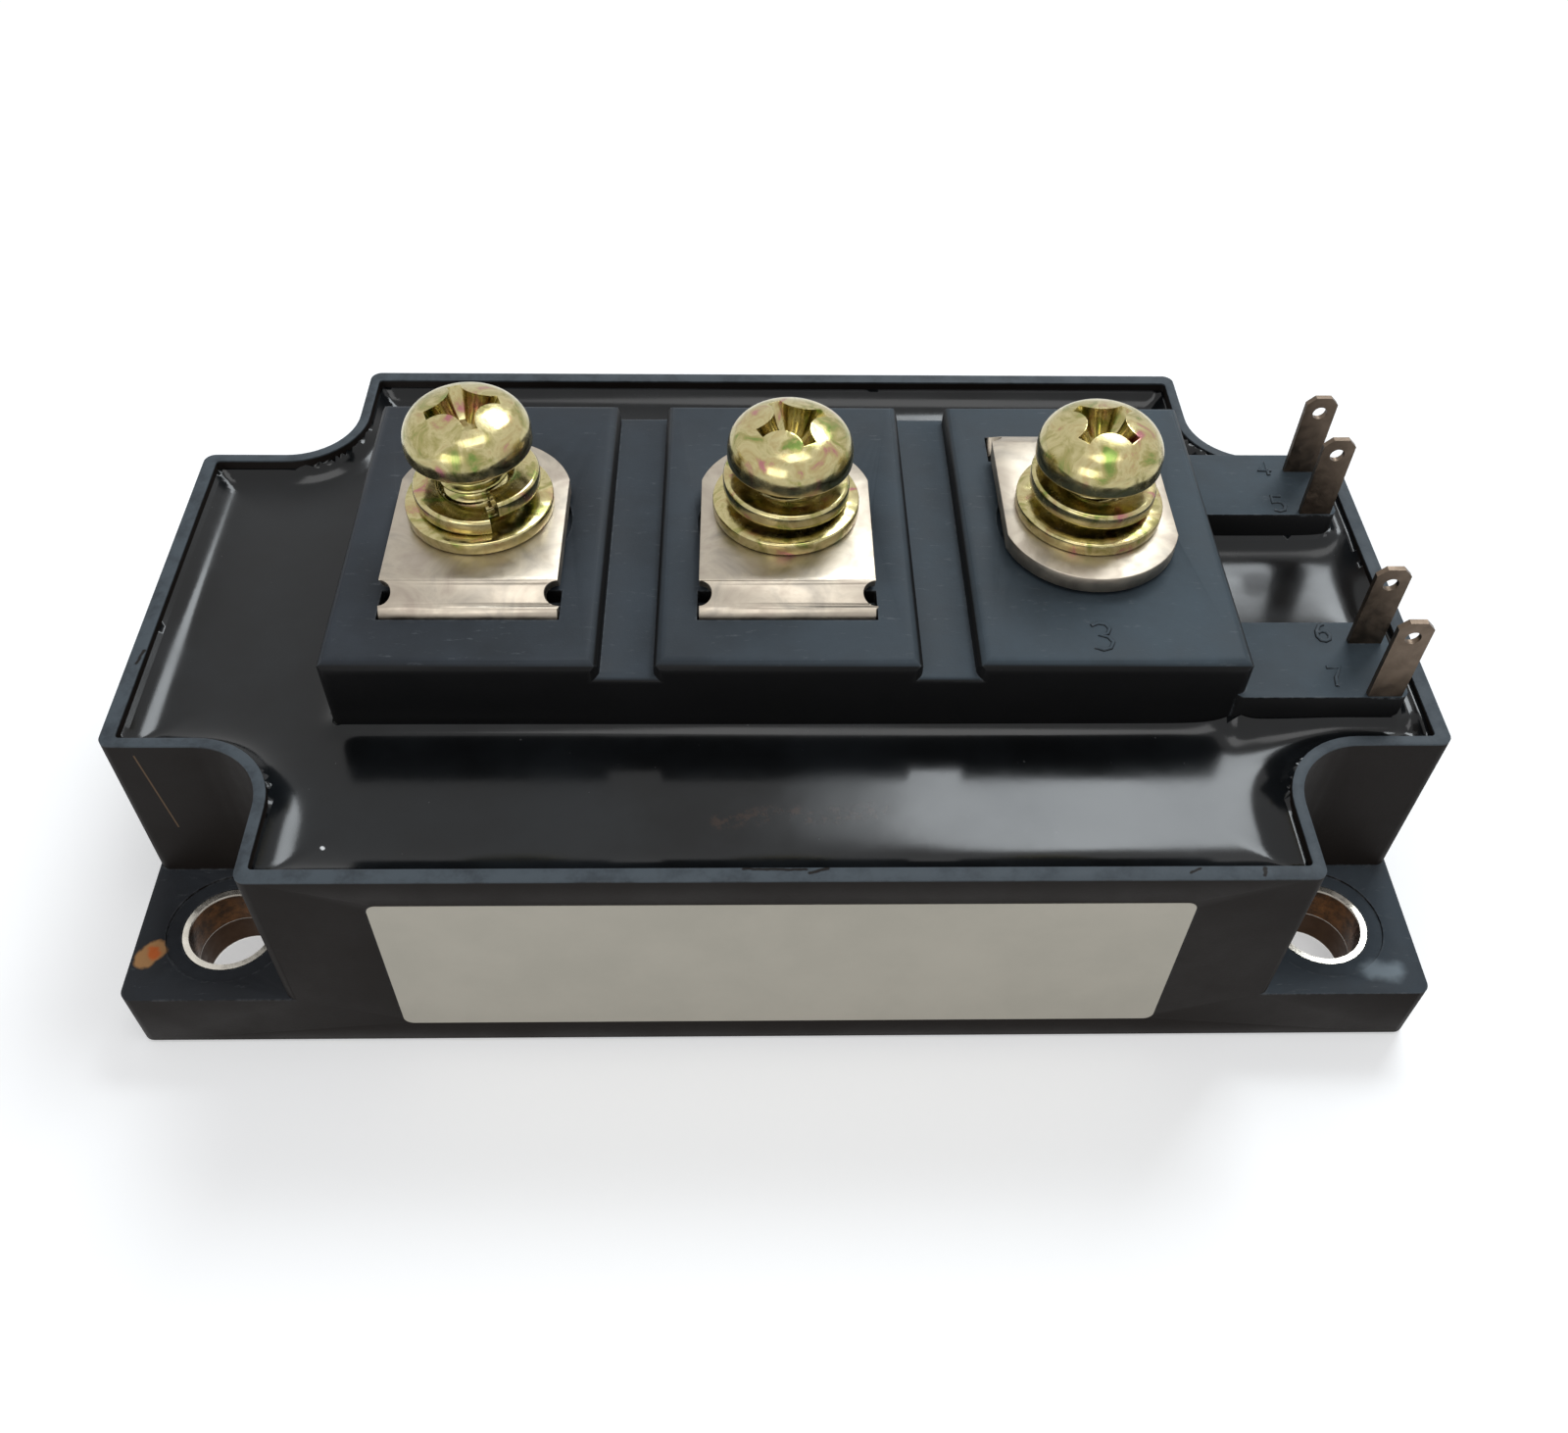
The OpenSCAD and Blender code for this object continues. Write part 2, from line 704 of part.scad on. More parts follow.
// Half section of the pan head: a crown arc that runs into a smaller shoulder arc
module head_profile() {
    shoulder_x = head_d / 2 - shoulder_r;
    reach = crown_r - shoulder_r;
    crown_z = head_h - crown_r;
    shoulder_z = crown_z + sqrt(reach * reach - shoulder_x * shoulder_x);
    intersection() {
        square([head_d / 2, head_h]);
        translate([0, crown_z]) circle(crown_r);
        union() {
            square([shoulder_x * crown_r / reach, head_h]);
            square([head_d / 2, shoulder_z]);
            translate([shoulder_x, shoulder_z]) circle(shoulder_r);
        }
    }
}

// Four arms with hollow flanks, left between four round lobes
module recess_outline() {
    lobe_r = norm([recess_lobe - recess_w / 2, recess_l / 2 - recess_lobe]);
    difference() {
        square(recess_l, center = true);
        for (sx = [-1, 1], sy = [-1, 1]) translate([sx, sy] * recess_lobe) circle(lobe_r);
    }
}

// Pan head screw with the underside of its head at z = 0
module pan_screw(turn) {
    difference() {
        union() {
            rotate_extrude() head_profile();
            translate([0, 0, -screw_l + tip_chamfer])
                cylinder(d = shank_d, h = screw_l - tip_chamfer + 1);
            translate([0, 0, -screw_l])
                cylinder(d1 = shank_d - 2 * tip_chamfer, d2 = shank_d, h = tip_chamfer);
        }
        translate([0, 0, head_h - recess_depth]) rotate(turn)
            linear_extrude(recess_depth + 1) recess_outline();
    }
}

// Each screw leans about the middle of its nut
module terminal_screws() {
    pivot_z = nut_z + nut_h / 2;
    color(zinc_gold) for (i = [0:2])
        translate([term_x[i], row_y, pivot_z]) rotate([0, -screw_lean[i], 0])
            translate([0, 0, plate_z + flat_t + spring_t + spring_rise + screw_lift[i] - pivot_z])
                pan_screw(recess_turn[i]);
}

// ---- Control tabs ----

// Flat blade with chamfered tip and a hole, in the plane across the module
module tab_body() {
    half = tab_w / 2;
    foot_z = pad_z - tab_root;
    rotate([90, 0, 0]) linear_extrude(tab_t, center = true) difference() {
        polygon([[-half, foot_z], [half, foot_z], [half, tab_tip_z - tab_chamfer],
            [half - tab_chamfer, tab_tip_z], [-half + tab_chamfer, tab_tip_z],
            [-half, tab_tip_z - tab_chamfer]]);
        translate([0, tab_tip_z - tab_hole_drop]) circle(d = tab_hole_d);
    }
}

module control_tab(i) {
    color(bronze) translate([tab_x, tab_y[i], 0]) tab_body();
}

// Each lead drops from a tab, runs inwards over the substrate and lands on its track
module control_leads() {
    run_z = track_top + lead_rise;
    post_d = lead_d + 0.2;
    land_x = sub_x + sub_l / 2 - foil_margin - lead_d;
    color(copper) for (i = [0:3]) {
        y = tab_y[i];
        land_y = abs(y) == tab_y_outer ? sign(y) * strip_y : y;
        translate([tab_x, y, run_z - post_d / 2])
            cylinder(d = post_d, h = pad_z - tab_root - run_z + post_d / 2, $fn = 24);
        translate([land_x, land_y, run_z]) rotate([0, 90, atan2(y - land_y, tab_x - land_x)])
            cylinder(d = lead_d, h = norm([tab_x - land_x, y - land_y]), $fn = 24);
        translate([land_x, land_y, track_top + chip_t])
            cylinder(d = post_d, h = run_z + post_d / 2 - track_top - chip_t, $fn = 24);
        translate([land_x, land_y, track_top])
            cylinder(d = strip_w, h = chip_t + 0.1, $fn = 24);
    }
}

// ---- Power stage: side is -1 for the left substrate and 1 for the right ----

// The right substrate is the left one turned by half a turn
module on_substrate(side) {
    translate([side * sub_x, 0, 0]) rotate(side > 0 ? 180 : 0) children();
}

module foil_plate(z, t) {
    translate([0, 0, z]) linear_extrude(t)
        square([sub_l - 2 * foil_margin, sub_w - 2 * foil_margin], center = true);
}

module substrate_solder() {
    color(steel) for (side = [-1, 1]) on_substrate(side) foil_plate(base_t, solder_t);
}

module backing_foil(side) {
    color(copper) on_substrate(side) foil_plate(base_t + solder_t, foil_t);
}

module ceramic(side) {
    color("white") on_substrate(side) translate([0, 0, ceramic_z])
        linear_extrude(ceramic_t) square([sub_l, sub_w], center = true);
}

// Two islands with a gate strip along each long edge
module copper_tracks(side) {
    length = sub_l - 2 * foil_margin;
    half_w = sub_w / 2 - foil_margin;
    island_w = half_w - strip_w - track_space - track_space / 2;
    color(copper) on_substrate(side) translate([0, 0, track_z]) linear_extrude(foil_t)
        for (s = [-1, 1]) {
            translate([-length / 2, s > 0 ? track_space / 2 : -track_space / 2 - island_w])
                square([length, island_w]);
            translate([-length / 2, s > 0 ? half_w - strip_w : -half_w])
                square([length, strip_w]);
        }
}

module chip(x, l, w) {
    translate([x, chip_y, track_top]) linear_extrude(chip_t) square([l, w], center = true);
}

module igbt_chips() {
    color("#3c4048") for (side = [-1, 1]) on_substrate(side)
        for (x = igbt_x) chip(x, igbt_a, igbt_a);
}

module diode_chips() {
    color("#55585f") for (side = [-1, 1]) on_substrate(side)
        for (x = diode_x) chip(x, diode_w, diode_l);
}

// A half ring that stands on the chip at y1, with a short post down to the track at y0
module bond_wire(y0, y1) {
    translate([0, (y0 + y1) / 2, chip_top]) rotate([90, 0, 90]) rotate_extrude(angle = 180)
        translate([abs(y1 - y0) / 2, 0]) circle(d = wire_d);
    translate([0, y0, track_top]) cylinder(d = wire_d, h = chip_t);
}

// Three loops from each chip to the next island, and one from each IGBT to its gate strip
module bond_wires() {
    gate_pad_y = chip_y + igbt_a / 2 - gate_pad_inset;
    color(steel) for (side = [-1, 1]) on_substrate(side) {
        for (x = concat(igbt_x, diode_x), k = wire_rows)
            translate([x + k * wire_pitch, 0, 0]) bond_wire(loop_y - loop_r, loop_y + loop_r);
        for (x = igbt_x) translate([x, 0, 0]) bond_wire(strip_y, gate_pad_y);
    }
}

// Loops that carry the gate strips across the space between the substrates
module gate_jumpers() {
    jump_r = sub_space / 2 + foil_margin + wire_d;
    color(steel) for (s = [-1, 1]) translate([0, s * strip_y, track_top])
        rotate([90, 0, 0]) rotate_extrude(angle = 180)
            translate([jump_r, 0]) circle(d = wire_d);
}

// ---- Assembly ----

case();
base_plate();
mount_sleeve(-1, -1);  // mount_sleeve_1
mount_sleeve(1, -1);  // mount_sleeve_2
mount_sleeve(-1, 1);  // mount_sleeve_3
mount_sleeve(1, 1);  // mount_sleeve_4
epoxy_resin();
silicone_gel();
terminal_block();
main_terminal(0);  // main_terminal_1
main_terminal(1);  // main_terminal_2
main_terminal(2);  // main_terminal_3
terminal_nuts();
flat_washers();
spring_washers();
terminal_screws();
control_tab(0);  // control_tab_1
control_tab(1);  // control_tab_2
control_tab(2);  // control_tab_3
control_tab(3);  // control_tab_4
control_leads();
label();
substrate_solder();
backing_foil(-1);  // backing_foil_1
backing_foil(1);  // backing_foil_2
ceramic(-1);  // ceramic_1
ceramic(1);  // ceramic_2
copper_tracks(-1);  // copper_tracks_1
copper_tracks(1);  // copper_tracks_2
igbt_chips();
diode_chips();
bond_wires();
gate_jumpers();
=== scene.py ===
"""Looks of a dual IGBT power module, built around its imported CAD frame.

Everything is in metres, in the frame of the CAD model: +Z up, +X towards the control tabs, and the
origin at the centre of the mounting face.
"""
import math

import bmesh
import bpy
import numpy as np
from mathutils import Matrix, Vector


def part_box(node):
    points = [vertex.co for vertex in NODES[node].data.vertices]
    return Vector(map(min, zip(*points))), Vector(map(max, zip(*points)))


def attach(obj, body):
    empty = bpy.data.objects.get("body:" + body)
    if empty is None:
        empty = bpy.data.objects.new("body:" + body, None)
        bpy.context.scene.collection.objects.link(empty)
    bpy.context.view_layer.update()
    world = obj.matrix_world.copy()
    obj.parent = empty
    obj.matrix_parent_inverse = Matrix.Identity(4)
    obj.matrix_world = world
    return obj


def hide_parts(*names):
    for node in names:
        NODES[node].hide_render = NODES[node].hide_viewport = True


MM = 0.001
BODY = "root"

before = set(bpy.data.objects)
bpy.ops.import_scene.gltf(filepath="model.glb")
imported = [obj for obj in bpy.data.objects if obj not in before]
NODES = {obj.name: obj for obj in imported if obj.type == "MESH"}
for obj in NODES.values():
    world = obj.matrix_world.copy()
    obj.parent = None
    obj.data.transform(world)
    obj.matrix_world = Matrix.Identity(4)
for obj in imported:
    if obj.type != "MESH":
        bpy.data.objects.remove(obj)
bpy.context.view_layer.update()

# Camera: where it stands, how it is turned, and its lens
CAMERA_PLACE = Vector((-2.7, -92.4, 112.6)) * MM
CAMERA_YAW, CAMERA_PITCH, CAMERA_ROLL = (math.radians(a) for a in (2.13, 48.98, 1.54))
CAMERA_LENS = 33.55
SENSOR_WIDTH = 36.0

# Screws: M6 pan heads, as in the CAD model
HEAD_R = 5.2 * MM
HEAD_H = 4.1 * MM
CROWN_R = 9.0 * MM
SHOULDER_R = 2.6 * MM
SCREW_LENGTH = 14.0 * MM
THREAD_R = 2.9 * MM
THREAD_DEPTH = 0.5 * MM
THREAD_PITCH = 1.0 * MM
RECESS_LENGTH = 6.2 * MM
RECESS_WIDTH = 1.2 * MM
RECESS_LOBE = 2.6 * MM
RECESS_DEPTH = 2.6 * MM
RECESS_TURNS = (20, 28, 45)
SCREW_LEANS = (0.5, -1.5, 0)

# Split washers, as in the CAD model
SPRING_INNER_R = 3.15 * MM
SPRING_OUTER_R = 5.3 * MM
SPRING_T = 1.5 * MM
SPRING_RISE = 1.5 * MM
SPLIT_TURNS = (-67, 78, 102)
SPLIT_GAP = 9

# Resin: how far it climbs the walls and the block, and over what distance that fades
WALL_CLIMB = 1.9 * MM
WALL_FADE = 1.25 * MM
BLOCK_CLIMB = 0.7 * MM
BLOCK_FADE = 0.6 * MM
PAD_CLIMB = 1.9 * MM
PAD_FADE = 1.1 * MM
MOST_CLIMB = 2.3 * MM
RESIN_GRID = 0.45 * MM

# Marks and wear: (start, end, radius, soft edge), in millimetres
CHIP = ((-52.9, -27.0, 6.8), (-52.2, -26.2, 6.8), 0.75, 0.35)
CHIP_CORE = ((-52.35, -26.3, 6.8), (-52.2, -26.6, 6.8), 0.25, 0.5)
FLANGE_SMUDGE = ((49.6, -28.7, 6.8), (51.4, -28.8, 6.8), 0.25, 1.1)
WALL_SCRATCH = ((-51.37, -18.0, 22.3), (-50.56, -18.0, 13.0), 0.03, 0.07)
RIM_NICKS = (((30.2, -30.4, 23.5), (31.0, -30.0, 23.5), 0.06, 0.1),
             ((35.7, -30.6, 23.5), (35.9, -30.0, 23.5), 0.08, 0.12),
             ((-3.1, -29.9, 23.5), (1.6, -30.0, 23.5), 0.05, 0.14),
             ((1.8, -30.3, 23.5), (3.2, -29.9, 23.5), 0.08, 0.12),
             ((-53.2, -9.0, 23.5), (-53.0, -7.6, 23.5), 0.08, 0.14))
RESIN_SPECK = ((-35.3, -26.1, 21.2), (-35.2, -26.2, 21.2), 0.1, 0.12)
RESIN_SMUDGES = (((-5.0, -23.6, 21.0), (1.0, -22.6, 21.0), 0.15, 0.9),
                 ((2.0, -23.4, 21.0), (7.6, -22.4, 21.0), 0.15, 0.8))

# Heights between which a look changes
# Above the flange, edges get scuffed wear and a painted highlight
FLANGE_WEAR_AND_HIGHLIGHT = (5 * MM, 6 * MM)
RIM_TOP = (23.30 * MM, 23.42 * MM)
SLEEVE_LIP = (6.3 * MM, 6.45 * MM)
BASE_TOP = (2.99 * MM, 2.9 * MM)
BASE_FOOT = (0.02 * MM, 0.1 * MM)
SLOT_TOP = (25.1 * MM, 24.9 * MM)

# Places along the module: where the faces up shift from their left colour to their right one, a painted
# change of light, and where the pads begin
TOP_SHEEN_ENDS = (-45 * MM, 50 * MM)
PAD_START = (37.9 * MM, 38 * MM)

# Light that the floor adds where the camera or a reflection sees it
FLOOR_GLOW = 0.35

# Plain numbers: how far they stand up, half their line width, and their lines in a unit square
NUMBER_RISE = 0.14 * MM
NUMBER_STROKE = 0.21 * MM
NUMBER_MIDDLE = (0.35, 0.5)
NUMBER_SHAPES = {
    "3": [(0.1, 0.9), (0.3, 1.0), (0.5, 0.95), (0.58, 0.78), (0.5, 0.6), (0.28, 0.53), (0.5, 0.47),
          (0.6, 0.28), (0.5, 0.07), (0.3, 0.0), (0.08, 0.1)],
    "4": [(0.45, 0.0), (0.45, 1.0), (0.05, 0.3), (0.62, 0.3)],
    "5": [(0.55, 1.0), (0.14, 1.0), (0.1, 0.55), (0.32, 0.62), (0.53, 0.55), (0.6, 0.32),
          (0.52, 0.08), (0.3, 0.0), (0.08, 0.1)],
    "6": [(0.5, 0.95), (0.3, 0.85), (0.13, 0.55), (0.1, 0.25), (0.2, 0.04), (0.38, 0.0), (0.55, 0.1),
          (0.6, 0.3), (0.52, 0.5), (0.34, 0.56), (0.16, 0.45)],
    "7": [(0.06, 1.0), (0.6, 1.0), (0.3, 0.45), (0.24, 0.0)],
}
# Each number's digit, centre and height, in millimetres
NUMBERS = (("3", (25.8, -10.9), 3.0), ("4", (45.7, 14.4), 2.1), ("5", (45.85, 9.3), 2.1),
           ("6", (45.6, -7.1), 2.1), ("7", (45.5, -12.2), 2.1))


# ---- Shader graphs ----

class Look:
    """One material and short calls that add nodes to it.

    Lengths are in metres, apart from the strokes that draw marks, which are in millimetres.
    """

    def __init__(self, name):
        self.data = bpy.data.materials.new(name)
        self.data.use_nodes = True
        self.tree = self.data.node_tree
        self.tree.nodes.clear()
        self.output = self.add("ShaderNodeOutputMaterial")
        self.surface = self.add("ShaderNodeBsdfPrincipled")
        self.tree.links.new(self.surface.outputs[0], self.output.inputs["Surface"])
        self.place = self.add("ShaderNodeTexCoord").outputs["Object"]

    def add(self, kind, inputs=None, **settings):
        new = self.tree.nodes.new(kind)
        for key, value in settings.items():
            setattr(new, key, value)
        for key, value in (inputs or {}).items():
            self.feed(new.inputs[key], value)
        return new

    def feed(self, socket, value):
        if isinstance(value, bpy.types.NodeSocket):
            self.tree.links.new(value, socket)
        elif socket.type == "RGBA" and len(value) == 3:
            socket.default_value = (*value, 1)
        else:
            socket.default_value = value

    def set(self, **values):
        """Feeds the surface: set(Base_Color=..., Roughness=...)."""
        for key, value in values.items():
            self.feed(self.surface.inputs[key.replace("_", " ")], value)

    def noise(self, size, detail=4, rough=0.55, warp=0.0, offset=(0, 0, 0), stretch=(1, 1, 1)):
        moved = self.add("ShaderNodeMapping", {"Vector": self.place, "Location": offset, "Scale": stretch})
        return self.add("ShaderNodeTexNoise", {
            "Vector": moved.outputs[0], "Scale": 1 / size, "Detail": detail,
            "Roughness": rough, "Distortion": warp}).outputs["Fac"]

    def math(self, operation, a, b=0.0, clamp=False):
        return self.add("ShaderNodeMath", {0: a, 1: b}, operation=operation, use_clamp=clamp).outputs[0]

    def span(self, value, low, high, to_low=0.0, to_high=1.0):
        """Smooth step of value from low..high to to_low..to_high."""
        return self.add("ShaderNodeMapRange", {
            "Value": value, "From Min": low, "From Max": high, "To Min": to_low, "To Max": to_high},
            interpolation_type="SMOOTHSTEP").outputs[0]

    def mix(self, share, a, b):
        new = self.add("ShaderNodeMix", data_type="RGBA")
        self.feed(new.inputs["Factor"], share)
        self.feed(new.inputs[6], a)
        self.feed(new.inputs[7], b)
        return new.outputs[2]

    def ramp(self, value, stops):
        new = self.add("ShaderNodeValToRGB", {"Fac": value})
        points = new.color_ramp.elements
        while len(points) < len(stops):
            points.new(0.5)
        for point, (where, colour) in zip(points, stops):
            point.position = where
            point.color = (*colour, 1)
        return new.outputs["Color"]

    def axis(self, name):
        return self.add("ShaderNodeSeparateXYZ", {0: self.place}).outputs[name]

    def facing_up(self):
        normal = self.add("ShaderNodeNewGeometry").outputs["Normal"]
        return self.add("ShaderNodeSeparateXYZ", {0: normal}).outputs["Z"]

    def edges(self, radius):
        """1 on edges and corners and 0 on open faces."""
        rounded = self.add("ShaderNodeBevel", {"Radius": radius}, samples=4).outputs[0]
        true = self.add("ShaderNodeNewGeometry").outputs["Normal"]
        agree = self.add("ShaderNodeVectorMath", {0: rounded, 1: true}, operation="DOT_PRODUCT")
        return self.span(agree.outputs["Value"], 0.995, 0.86)

    def stroke(self, start, end, radius, soft, place=None):
        """1 within radius of the line from start to end, and 0 past radius + soft, in millimetres."""
        start, along = Vector(start) * MM, (Vector(end) - Vector(start)) * MM
        radius, soft = radius * MM, soft * MM
        offset = self.vector("SUBTRACT", place or self.place, start)
        share = self.vector("DOT_PRODUCT", offset, along / along.length_squared, "Value")
        share = self.math("MULTIPLY", share, 1.0, clamp=True)
        nearest = self.vector("SCALE", along, share)
        gap = self.vector("LENGTH", self.vector("SUBTRACT", offset, nearest), (0, 0, 0), "Value")
        return self.span(gap, radius + soft, radius)

    def shaken(self, size, reach):
        """The place on the surface, pushed about so that marks get ragged outlines."""
        wander = self.add("ShaderNodeTexNoise", {"Vector": self.place, "Scale": 1 / size, "Detail": 3})
        push = self.vector("SUBTRACT", wander.outputs["Color"], (0.5, 0.5, 0.5))
        return self.vector("ADD", self.place, self.vector("SCALE", push, reach))

    def marks(self, strokes, place=None):
        """1 where any of the strokes is."""
        total = self.stroke(*strokes[0], place=place)
        for more in strokes[1:]:
            total = self.math("MAXIMUM", total, self.stroke(*more, place=place))
        return total

    def vector(self, operation, a, b, result="Vector"):
        new = self.add("ShaderNodeVectorMath", operation=operation)
        self.feed(new.inputs[0], a)
        self.feed(new.inputs["Scale"] if operation == "SCALE" else new.inputs[1], b)
        return new.outputs[result]

    def bump(self, height, strength, depth):
        self.feed(self.surface.inputs["Normal"], self.add("ShaderNodeBump", {
            "Height": height, "Strength": strength, "Distance": depth}).outputs[0])
        return self


def grey(value, warmth=0.0):
    """A grey that leans to brown with positive warmth and to blue with negative warmth."""
    return (value * (1 + warmth), value, value * (1 - warmth))


def moulded_plastic(name, side, top, worn_and_highlit, wear_and_highlight_where):
    """Dark glass-filled plastic: faces up lighter, partly dusty and partly painted sheen, edges lighter
    with scuffed wear and a painted highlight, fine grain.

    top holds the colours of the faces up at the left and right ends: dusty, with painted sheen. The last
    argument says where edges get scuffed wear and the painted highlight.
    """
    look = Look(name)
    cloud = look.noise(9 * MM, 5, 0.6)
    # Faces up are lighter: partly dusty, partly painted sheen, shifting from left to right as painted
    # light
    up = look.span(look.facing_up(), 0.55, 0.95)
    dust_and_sheen = look.math("MULTIPLY", up, look.span(cloud, 0.25, 0.75, 0.55, 1.0))
    base = look.mix(dust_and_sheen, side, look.mix(look.span(look.axis("X"), *TOP_SHEEN_ENDS), *top))
    # Edges are lighter: partly scuffed wear, partly a painted highlight
    edge_wear_and_highlight_patches = look.span(look.noise(0.9 * MM, 6, 0.7, warp=0.6), 0.42, 0.66)
    rubbed_and_highlit = look.math("MULTIPLY", look.edges(0.35 * MM), look.math("MULTIPLY", edge_wear_and_highlight_patches, 0.55))
    rubbed_and_highlit = look.math("MULTIPLY", rubbed_and_highlit, wear_and_highlight_where(look))
    streaks = look.span(look.noise(0.5 * MM, 5, 0.7, stretch=(0.25, 1, 1)), 0.60, 0.72)
    rubbed_and_highlit = look.math("MAXIMUM", rubbed_and_highlit, look.math("MULTIPLY", up, look.math("MULTIPLY", streaks, 0.3)))
    look.base = look.mix(rubbed_and_highlit, base, worn_and_highlit)
    look.set(Base_Color=look.base)
    look.set(Roughness=look.span(cloud, 0.3, 0.7, 0.5, 0.62), Specular_IOR_Level=0.15)
    grain = look.noise(0.22 * MM, 3, 0.6)
    return look.bump(grain, 0.25, 0.04 * MM)


def case_plastic():
    """Housing: rim top paler and bluer, partly wear and partly painted sheen, and the marks on its rim,
    wall and flanges.
    """
    # Walls near black, with a brown tint that is a painted reflection
    side = (0.0060, 0.0040, 0.0030)
    # Faces up at the left and right ends: dusty with painted sheen, the right lighter as painted light
    top = ((0.023, 0.027, 0.033), (0.040, 0.052, 0.064))
    # Edges above the flange: scuffed wear and a painted highlight in this grey
    look = moulded_plastic("case_plastic", side, top, grey(0.14, -0.06),
                           lambda look: look.span(look.axis("Z"), *FLANGE_WEAR_AND_HIGHLIGHT))
    # Rim top paler and bluer: partly wear, partly painted sheen
    rim = look.math("MULTIPLY", look.span(look.axis("Z"), *RIM_TOP),
                    look.span(look.noise(3 * MM, 5, 0.7), 0.3, 0.6, 0.35, 1.0))
    base = look.mix(rim, look.base, (0.066, 0.080, 0.092))
    base = look.mix(look.marks(RIM_NICKS, look.shaken(0.6 * MM, 0.3 * MM)), base, (0.006, 0.004, 0.003))
    base = look.mix(look.math("MULTIPLY", look.marks([WALL_SCRATCH]), 0.7), base, (0.16, 0.10, 0.055))
    smudge = look.math("MULTIPLY", look.marks([FLANGE_SMUDGE], look.shaken(1.5 * MM, 1.2 * MM)), 0.5)
    base = look.mix(smudge, base, (0.30, 0.36, 0.40))
    ragged = look.shaken(0.9 * MM, 0.7 * MM)
    chip = look.mix(look.marks([CHIP_CORE], ragged), (0.42, 0.22, 0.09), (0.56, 0.13, 0.03))
    look.set(Base_Color=look.mix(look.marks([CHIP], ragged), base, chip))
    return look.data


def block_plastic():
    # Where edges get scuffed wear and a painted highlight
    def wear_and_highlight_where(look):
        """Everywhere but low on the pads, where the tabs' slots lie just under the surface."""
        low = look.span(look.axis("Z"), *SLOT_TOP)
        on_pads = look.span(look.axis("X"), *PAD_START)
        return look.math("SUBTRACT", 1.0, look.math("MULTIPLY", low, on_pads))

    side = (0.0045, 0.0045, 0.0048)
    # Faces up at the left and right ends: dusty with painted sheen, the right lighter as painted light
    top = ((0.034, 0.040, 0.049), (0.058, 0.080, 0.098))
    return moulded_plastic("block_plastic", side, top, grey(0.17, -0.08), wear_and_highlight_where).data


def potting_resin():
    look = Look("potting_resin")
    haze = look.noise(14 * MM, 5, 0.6, offset=(0.02, 0, 0))
    specks = look.span(look.noise(0.5 * MM, 2, 0.5), 0.76, 0.80)
    base = look.mix(look.span(haze, 0.35, 0.7), grey(0.004, -0.1), grey(0.009, -0.16))
    base = look.mix(look.math("MULTIPLY", specks, 0.25), base, grey(0.2))
    smudges = look.math("MULTIPLY", look.marks(RESIN_SMUDGES, look.shaken(0.8 * MM, 1.4 * MM)),
                        look.span(look.noise(0.9 * MM, 5, 0.7), 0.45, 0.6))
    base = look.mix(look.math("MULTIPLY", smudges, 0.35), base, (0.07, 0.035, 0.02))
    base = look.mix(look.marks([RESIN_SPECK]), base, grey(0.8))
    look.set(Base_Color=base, Specular_IOR_Level=0.3)
    look.set(Roughness=look.span(haze, 0.3, 0.75, 0.12, 0.22))
    return look.bump(look.noise(2.4 * MM, 3, 0.5), 0.08, 0.08 * MM).data


def metal(name, colours, roughness, patch=2.5 * MM):
    """Plated metal whose colour wanders between the colours given, in patches."""
    look = Look(name)
    patches = look.noise(patch, 4, 0.6, warp=0.8)
    stops = [(0.3 + 0.4 * i / (len(colours) - 1), c) for i, c in enumerate(colours)]
    look.set(Base_Color=look.ramp(patches, stops), Metallic=1.0)
    look.set(Roughness=look.span(look.noise(patch * 0.4, 3), 0.3, 0.7, *roughness))
    return look.bump(look.noise(0.3 * MM, 3, 0.6), 0.12, 0.03 * MM)


def sleeve_metal():
    """Bright turned lip, and below it a bore painted dark brown as reflection and shade, with lighter
    painted streaks.
    """
    look = metal("sleeve_metal", [(0.80, 0.76, 0.68), (0.70, 0.66, 0.58)], (0.2, 0.35))
    lip = look.span(look.axis("Z"), *SLEEVE_LIP)
    # Bore below the lip: painted dark brown reflection and shade, streaked with painted reflections
    bore_reflection_and_shade = look.ramp(look.noise(1.2 * MM, 5, 0.7),
                     [(0.35, (0.030, 0.016, 0.008)), (0.65, (0.13, 0.055, 0.018))])
    bright = look.surface.inputs["Base Color"].links[0].from_socket
    look.set(Base_Color=look.mix(lip, bore_reflection_and_shade, bright))
    return look.data


def base_nickel():
    """Satin plate, painted dark brown inside the mounting holes as reflection and shade."""
    look = metal("base_nickel", [(0.62, 0.60, 0.55), (0.70, 0.68, 0.64)], (0.35, 0.5))
    # Inside the holes: painted dark brown reflection and shade
    hole_reflection_and_shade = look.math("MULTIPLY", look.span(look.axis("Z"), *BASE_TOP),
                      look.span(look.axis("Z"), *BASE_FOOT))
    bright = look.surface.inputs["Base Color"].links[0].from_socket
    look.set(Base_Color=look.mix(hole_reflection_and_shade, bright, (0.05, 0.025, 0.012)))
    return look.data


def label_film():
    look = Look("label_film")
    patches = look.noise(8 * MM, 4, 0.6)
    look.set(Base_Color=look.mix(look.span(patches, 0.3, 0.7), (0.45, 0.42, 0.35), (0.49, 0.455, 0.38)))
    look.set(Roughness=0.5, Specular_IOR_Level=0.3)
    return look.bump(look.noise(0.5 * MM, 3), 0.1, 0.02 * MM).data


